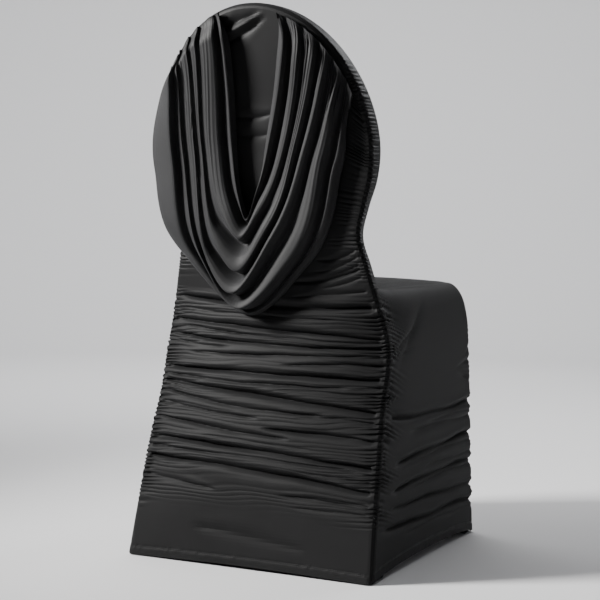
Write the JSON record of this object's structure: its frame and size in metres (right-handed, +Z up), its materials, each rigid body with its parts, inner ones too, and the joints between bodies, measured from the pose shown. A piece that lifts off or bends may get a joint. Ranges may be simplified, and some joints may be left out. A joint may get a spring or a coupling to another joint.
{
  "type": "ruched stretch chair cover",
  "caption": "Fitted black stretch cover for an oval-backed banquet chair, ruched at its seams, with a cowl drape of nested folds on its back.",
  "frame": {"origin": "on the floor, under the middle of the cover's box", "axes": "+Z up; +Y towards the front of the seat, so the draped back faces -Y; +X to the right seen from behind"},
  "size_m": [0.469, 0.5316, 0.9454],
  "materials": {
    "back_knit": "matte stretch knit with a soft sheen",
    "front_knit": "matte stretch knit with a soft sheen",
    "seat_knit": "matte stretch knit with a soft sheen",
    "drape_knit": "soft stretch knit with a satin sheen",
    "pocket_knit": "doubled matte stretch knit"
  },
  "bodies": {
    "root": {"back_panel": "back_knit", "inside_back": "front_knit", "seat_skirt": "seat_knit", "swag": "drape_knit", "foot_pocket_rear_left": "pocket_knit", "foot_pocket_rear_right": "pocket_knit", "foot_pocket_front_left": "pocket_knit", "foot_pocket_front_right": "pocket_knit"}
  },
  "joints": []
}
